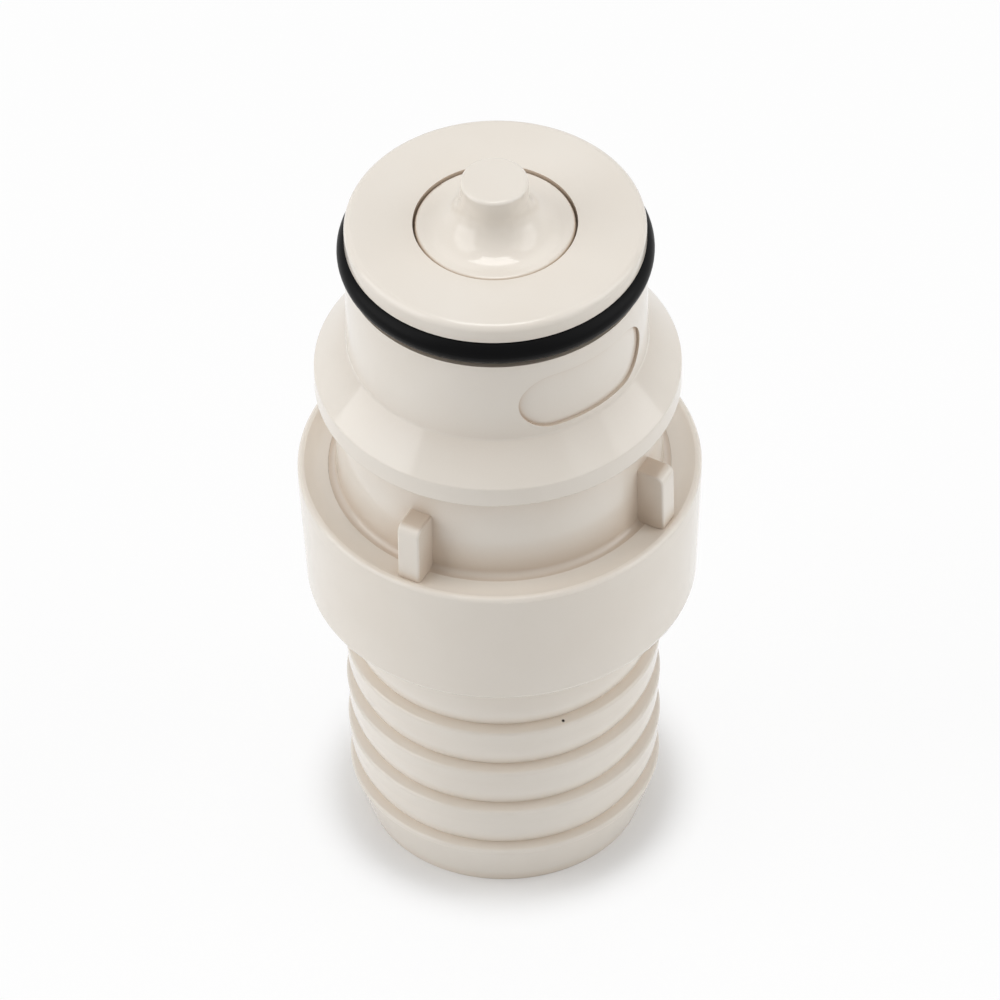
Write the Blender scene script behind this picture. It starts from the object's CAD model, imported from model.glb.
from math import cos, pi, radians, sin

import bpy
from mathutils import Matrix, Vector


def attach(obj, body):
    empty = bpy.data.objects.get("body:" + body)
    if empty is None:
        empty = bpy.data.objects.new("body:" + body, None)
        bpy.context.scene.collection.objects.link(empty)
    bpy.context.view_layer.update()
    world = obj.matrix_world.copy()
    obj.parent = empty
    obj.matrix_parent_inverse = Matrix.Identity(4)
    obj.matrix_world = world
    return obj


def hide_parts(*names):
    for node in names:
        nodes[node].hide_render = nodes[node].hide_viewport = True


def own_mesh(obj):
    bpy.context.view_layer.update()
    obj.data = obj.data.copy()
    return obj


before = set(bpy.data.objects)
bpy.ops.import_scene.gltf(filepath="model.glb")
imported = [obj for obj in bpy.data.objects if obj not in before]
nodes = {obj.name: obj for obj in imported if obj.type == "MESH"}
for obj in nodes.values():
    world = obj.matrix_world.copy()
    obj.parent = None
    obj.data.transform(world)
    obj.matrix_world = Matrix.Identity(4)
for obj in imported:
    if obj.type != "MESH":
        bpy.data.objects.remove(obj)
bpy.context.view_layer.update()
bpy.ops.object.select_all(action="DESELECT")


# ---- insert body ----------------------------------------------------------
# The insert body is one injection moulding of off-white acetal: sleeve, waist,
# flange and nose. It leaves a polished steel mould, so its skin is glossy and
# even, with only the faint ripple and grain that shrinking plastic takes.


def linear(colour):
    """Linear red, green, blue and alpha of an sRGB hex colour."""
    parts = [int(colour[i : i + 2], 16) / 255 for i in (1, 3, 5)]
    return [c / 12.92 if c <= 0.04045 else ((c + 0.055) / 1.055) ** 2.4 for c in parts] + [1.0]


def add(tree, kind, settings=None, links=None, **options):
    """A new node of this kind, with its options, socket values and incoming links."""
    made = tree.nodes.new(kind)
    for name, value in options.items():
        setattr(made, name, value)

    def socket(sockets, key):
        return sockets[key] if isinstance(key, int) else next(
            s for s in sockets if s.name == key and s.enabled)

    for key, value in (settings or {}).items():
        socket(made.inputs, key).default_value = value
    for key, (source, output) in (links or {}).items():
        tree.links.new(socket(source.outputs, output), socket(made.inputs, key))
    return made


def blank(name):
    """An empty node material of this name."""
    material = bpy.data.materials.new(name)
    material.use_nodes = True
    material.node_tree.nodes.clear()
    return material


def moulded_acetal(name, colour, deep_colour, gloss, seed, film_reach, film_full, film_colour,
                   flaws=None):
    """Glossy off-white acetal, with the clouding, ripple and fine grain of a moulded skin.
    A film lies in the corners, up to film_reach metres out of them, and is whole where
    film_full of the sky is open. flaws adds the piece's own marks: it takes the tree,
    the place node and the tint so far."""
    material = blank(name)
    tree = material.node_tree
    place = add(tree, "ShaderNodeTexCoord")
    # pigment that mixed unevenly leaves clouds about 9 mm across
    clouds = add(tree, "ShaderNodeTexNoise", {"Scale": 1 / 0.009, "Detail": 3.0, "W": seed},
                 {"Vector": (place, "Object")}, noise_dimensions="4D")
    tone = add(tree, "ShaderNodeMapRange", {"From Min": 0.35, "From Max": 0.65},
               {"Value": (clouds, "Fac")})
    tint = add(tree, "ShaderNodeMix", {"A": linear(deep_colour), "B": linear(colour)},
               {"Factor": (tone, "Result")}, data_type="RGBA")
    # a thin film of talc and handling grease settles in corners and turns the
    # plastic there a little darker and warmer
    corner = add(tree, "ShaderNodeAmbientOcclusion", {"Distance": film_reach}, samples=8)
    film = add(tree, "ShaderNodeMapRange",
               {"From Min": film_full, "From Max": 1.0, "To Min": 1.0, "To Max": 0.0},
               {"Value": (corner, "AO")})
    tint = add(tree, "ShaderNodeMix", {"B": linear(film_colour)},
               {"Factor": (film, "Result"), "A": (tint, "Result")},
               data_type="RGBA", blend_type="MULTIPLY")
    if flaws:
        tint = flaws(tree, place, tint)
    # handling leaves the gloss a little uneven over 2 mm
    wear = add(tree, "ShaderNodeTexNoise", {"Scale": 1 / 0.002, "Detail": 4.0, "W": seed + 3},
               {"Vector": (place, "Object")}, noise_dimensions="4D")
    dullness = add(tree, "ShaderNodeMapRange",
                   {"From Min": 0.3, "From Max": 0.7,
                    "To Min": gloss - 0.03, "To Max": gloss + 0.05},
                   {"Value": (wear, "Fac")})
    # sink ripple 4 mm long and 2 micrometres high, and grain of 0.15 mm
    ripple = add(tree, "ShaderNodeTexNoise", {"Scale": 1 / 0.004, "Detail": 1.0, "W": seed + 7},
                 {"Vector": (place, "Object")}, noise_dimensions="4D")
    wavy = add(tree, "ShaderNodeBump", {"Strength": 1.0, "Distance": 0.000004},
               {"Height": (ripple, "Fac")})
    grain = add(tree, "ShaderNodeTexNoise", {"Scale": 1 / 0.00015, "Detail": 2.0, "W": seed + 11},
                {"Vector": (place, "Object")}, noise_dimensions="4D")
    grainy = add(tree, "ShaderNodeBump", {"Strength": 1.0, "Distance": 0.0000004},
                 {"Height": (grain, "Fac"), "Normal": (wavy, "Normal")})
    skin = add(tree, "ShaderNodeBsdfPrincipled", {"IOR": 1.48},
               {"Base Color": (tint, "Result"), "Roughness": (dullness, "Result"),
                "Normal": (grainy, "Normal")})
    add(tree, "ShaderNodeOutputMaterial", links={"Surface": (skin, "BSDF")})
    return material


def finish_node(name, material):
    """Gives a CAD node's every material slot this material."""
    piece = nodes[name]
    if not piece.material_slots:
        piece.data.materials.append(material)
    for slot in piece.material_slots:
        slot.material = material


finish_node("insert_body", moulded_acetal(
    "glossy_acetal_body", "#ebe4da", "#e8e0d5", gloss=0.1, seed=1.0,
    film_reach=0.0035, film_full=0.6, film_colour="#ece3db"))


# ---- hose barb ------------------------------------------------------------
# The collar and the barbed tail are a second moulding of the same acetal,
# welded to the insert body at the collar's dished lip.


def black_specks(tree, place, tint):
    """Specks of burnt plastic in the skin: centre and radius in metres, and depth of colour."""
    for x, y, z, radius, depth in (
        (0.0040, -0.0096, 0.01531, 0.00012, 1.0),
        (0.0083, -0.0069, 0.01723, 0.00009, 0.5),
        (0.0031, -0.0101, 0.01560, 0.00010, 0.25),
        (0.0027, -0.0103, 0.01580, 0.00008, 0.2),
    ):
        away = add(tree, "ShaderNodeVectorMath", {1: (x, y, z)}, {0: (place, "Object")},
                   operation="DISTANCE")
        spot = add(tree, "ShaderNodeMapRange",
                   {"From Min": radius * 0.6, "From Max": radius * 1.2,
                    "To Min": depth, "To Max": 0.0},
                   {"Value": (away, "Value")})
        tint = add(tree, "ShaderNodeMix", {"B": linear("#1c1814")},
                   {"Factor": (spot, "Result"), "A": (tint, "Result")}, data_type="RGBA")
    return tint


finish_node("hose_barb", moulded_acetal(
    "glossy_acetal_tail", "#ebe4da", "#e8e0d5", gloss=0.11, seed=2.0,
    film_reach=0.001, film_full=0.45, film_colour="#faf5f0", flaws=black_specks))


# ---- poppet ---------------------------------------------------------------
# The valve's poppet is moulded in one: push pin, flush disc, sealing head and
# guided stem.

finish_node("poppet", moulded_acetal(
    "glossy_acetal_poppet", "#ebe4da", "#e8e0d5", gloss=0.1, seed=3.0,
    film_reach=0.0015, film_full=0.45, film_colour="#ebe0d4"))


# ---- valve guide ----------------------------------------------------------
# The guide's ring, hub and four fins are moulded in one and clamped between
# the two outer mouldings. Only the hose bore shows it.

finish_node("valve_guide", moulded_acetal(
    "glossy_acetal_guide", "#e4ddd2", "#dfd7cb", gloss=0.18, seed=4.0,
    film_reach=0.002, film_full=0.45, film_colour="#efe5dc"))


# ---- O-ring and poppet seal -----------------------------------------------
# Both rings are compression-moulded nitrile rubber, black with carbon and
# slightly oily, so that they shine softly.


def nitrile_rubber(name, colour, seed):
    """Black nitrile rubber with a fine grain and a soft oily shine."""
    material = blank(name)
    tree = material.node_tree
    place = add(tree, "ShaderNodeTexCoord")
    bloom = add(tree, "ShaderNodeTexNoise", {"Scale": 1 / 0.0015, "Detail": 4.0, "W": seed},
                {"Vector": (place, "Object")}, noise_dimensions="4D")
    tint = add(tree, "ShaderNodeMix", {"A": linear(colour), "B": linear("#080809")},
               {"Factor": (bloom, "Fac")}, data_type="RGBA")
    dullness = add(tree, "ShaderNodeMapRange", {"To Min": 0.3, "To Max": 0.45},
                   {"Value": (bloom, "Fac")})
    grain = add(tree, "ShaderNodeTexNoise", {"Scale": 1 / 0.0002, "Detail": 2.0, "W": seed + 5},
                {"Vector": (place, "Object")}, noise_dimensions="4D")
    grainy = add(tree, "ShaderNodeBump", {"Strength": 1.0, "Distance": 0.000004},
                 {"Height": (grain, "Fac")})
    skin = add(tree, "ShaderNodeBsdfPrincipled", {"IOR": 1.52, "Specular IOR Level": 0.07},
               {"Base Color": (tint, "Result"), "Roughness": (dullness, "Result"),
                "Normal": (grainy, "Normal")})
    add(tree, "ShaderNodeOutputMaterial", links={"Surface": (skin, "BSDF")})
    return material


finish_node("nose_oring", nitrile_rubber("nitrile_rubber_ring", "#050506", 5.0))
finish_node("poppet_seal", nitrile_rubber("nitrile_rubber_seal", "#050506", 6.0))


# ---- valve spring ---------------------------------------------------------
# The spring is wound from drawn stainless wire 1 mm thick, and its ends are ground
# flat. Drawing leaves fine lines along the wire. It shortens as the poppet is
# pushed in, towards the end that stands on the valve guide.


def drawn_steel_wire(name, seed):
    """Stainless spring wire with the fine lines of drawing."""
    material = blank(name)
    tree = material.node_tree
    place = add(tree, "ShaderNodeTexCoord")
    # the lines are 0.05 mm apart across the wire, which lies nearly level
    stretch = add(tree, "ShaderNodeMapping", {"Scale": (0.05, 0.05, 1.0)},
                  {"Vector": (place, "Object")})
    lines = add(tree, "ShaderNodeTexNoise", {"Scale": 1 / 0.00005, "Detail": 2.0, "W": seed},
                {"Vector": (stretch, "Vector")}, noise_dimensions="4D")
    tint = add(tree, "ShaderNodeMix", {"A": linear("#a9abad"), "B": linear("#c3c5c6")},
               {"Factor": (lines, "Fac")}, data_type="RGBA")
    dullness = add(tree, "ShaderNodeMapRange", {"To Min": 0.25, "To Max": 0.4},
                   {"Value": (lines, "Fac")})
    skin = add(tree, "ShaderNodeBsdfPrincipled", {"Metallic": 1.0},
               {"Base Color": (tint, "Result"), "Roughness": (dullness, "Result")})
    add(tree, "ShaderNodeOutputMaterial", links={"Surface": (skin, "BSDF")})
    return material


finish_node("valve_spring", drawn_steel_wire("drawn_stainless_wire", 7.0))

# the CAD spring can't shorten, so a copy of it is shown
coil = nodes["valve_spring"].copy()
coil.data = nodes["valve_spring"].data.copy()
coil.name = "spring_coil"
bpy.context.scene.collection.objects.link(coil)
bpy.ops.object.select_all(action="DESELECT")
coil.select_set(True)
bpy.context.view_layer.objects.active = coil
bpy.ops.object.mode_set(mode="EDIT")
bpy.ops.mesh.select_all(action="SELECT")
bpy.ops.mesh.remove_doubles(threshold=0.000001)
bpy.ops.mesh.select_all(action="DESELECT")
bpy.ops.object.mode_set(mode="OBJECT")
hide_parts("valve_spring")
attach(coil, "housing")
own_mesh(coil)


# ---- floor and backdrop ---------------------------------------------------
# A plain white table top, far wider than the fitting. Its plastic laminate is
# lit evenly, and it keeps a soft shadow close round what stands on it.


def looked_at(tree):
    """1 where the camera, a reflection or a see-through surface looks, and else 0."""
    ray = add(tree, "ShaderNodeLightPath")
    found = add(tree, "ShaderNodeMath", {},
                {0: (ray, "Is Camera Ray"), 1: (ray, "Is Glossy Ray")}, operation="MAXIMUM")
    return add(tree, "ShaderNodeMath", {},
               {0: (found, "Value"), 1: (ray, "Is Transmission Ray")}, operation="MAXIMUM")


# the table top lies 0.02 mm lower than the hose end, so that they don't flicker
table_size, table_z = 20.0, -0.00002
bpy.ops.mesh.primitive_plane_add(size=table_size, location=(0.0, 0.0, table_z))
table_top = bpy.context.active_object
table_top.name = "table_top"
laminate = blank("white_laminate")
tree = laminate.node_tree
matt = add(tree, "ShaderNodeBsdfDiffuse", {"Color": linear("#f4f4f4")})
glow = add(tree, "ShaderNodeEmission", {"Color": (1, 1, 1, 1), "Strength": 1.0})
# within 5 mm of the foot of what stands there, less and less of the white shows
near = add(tree, "ShaderNodeAmbientOcclusion", {"Distance": 0.005}, samples=16)
open_top = add(tree, "ShaderNodeMapRange",
               {"From Min": 0.55, "From Max": 0.97, "To Min": 0.1, "To Max": 0.9},
               {"Value": (near, "AO")}, interpolation_type="SMOOTHSTEP")
seen = add(tree, "ShaderNodeMath", {}, {0: (looked_at(tree), "Value"), 1: (open_top, "Result")},
           operation="MULTIPLY")
top = add(tree, "ShaderNodeMixShader",
          links={0: (seen, "Value"), 1: (matt, "BSDF"), 2: (glow, "Emission")})
add(tree, "ShaderNodeOutputMaterial", links={"Surface": (top, "Shader")})
table_top.data.materials.append(laminate)

world = bpy.data.worlds.new("studio")
bpy.context.scene.world = world
world.use_nodes = True
tree = world.node_tree
tree.nodes.clear()
room = add(tree, "ShaderNodeBackground", {"Color": (1, 1, 1, 1), "Strength": 0.26})
white = add(tree, "ShaderNodeBackground", {"Color": (1, 1, 1, 1), "Strength": 1.0})
sky = add(tree, "ShaderNodeMixShader",
          links={0: (looked_at(tree), "Value"), 1: (room, "Background"), 2: (white, "Background")})
add(tree, "ShaderNodeOutputWorld", links={"Surface": (sky, "Shader")})


# ---- lights ---------------------------------------------------------------
# Tall soft panels stand left and right of the table, a small soft box hangs over
# it and a weak one behind it; the side of the camera stays dark.


def soft_panel(name, centre, towards, width, height, radiance):
    """A white rectangular lamp with this radiance, its sides level and upright."""
    lamp = bpy.data.lights.new(name, "AREA")
    lamp.shape = "RECTANGLE"
    lamp.size, lamp.size_y = width, height
    # an area lamp of P watts and area A has a radiance of P / (pi A)
    lamp.energy = radiance * pi * width * height
    panel = bpy.data.objects.new(name, lamp)
    bpy.context.scene.collection.objects.link(panel)
    panel.location = centre
    panel.visible_camera = False
    panel.rotation_euler = (Vector(centre) - Vector(towards)).to_track_quat("Z", "Y").to_euler()
    return panel


soft_panel("left_panel", (-0.60, -0.1475, 0.625), (0.0, -0.1475, 0.625), 0.595, 1.15, 1.94)
soft_panel("right_panel", (0.60, -0.025, 0.625), (0.0, -0.025, 0.625), 0.35, 1.15, 1.8)
soft_panel("right_wing", (0.60, -0.42, 0.625), (0.0, -0.42, 0.625), 0.44, 1.15, 0.78)
soft_panel("top_box", (-0.01, 0.07, 0.85), (-0.01, 0.07, 0.0), 0.34, 0.40, 4.8)
soft_panel("back_box", (0.0, 0.55, 0.95), (0.0, 0.0, 0.03), 0.90, 0.40, 0.5)


# ---- camera ---------------------------------------------------------------
# A very long lens 3 m away, 44 degrees above the table and turned by about a
# degree round its line of sight, so that the fitting shows hardly any convergence.

aim = Vector((-0.000027, 0.0, 0.0271))
elevation, distance, roll = radians(44.25), 3.0, radians(-1.08)
lens = bpy.data.cameras.new("camera")
lens.lens, lens.sensor_width = 1583.5, 36.0
lens.clip_start, lens.clip_end = 0.1, 30.0
camera = bpy.data.objects.new("camera", lens)
bpy.context.scene.collection.objects.link(camera)
back = Vector((0.0, -cos(elevation), sin(elevation)))
camera.matrix_world = (
    Matrix.Translation(aim + distance * back)
    @ (-back).to_track_quat("-Z", "Y").to_matrix().to_4x4()
    @ Matrix.Rotation(roll, 4, "Z")
)
bpy.context.scene.camera = camera

bpy.context.scene.view_settings.view_transform = "Standard"
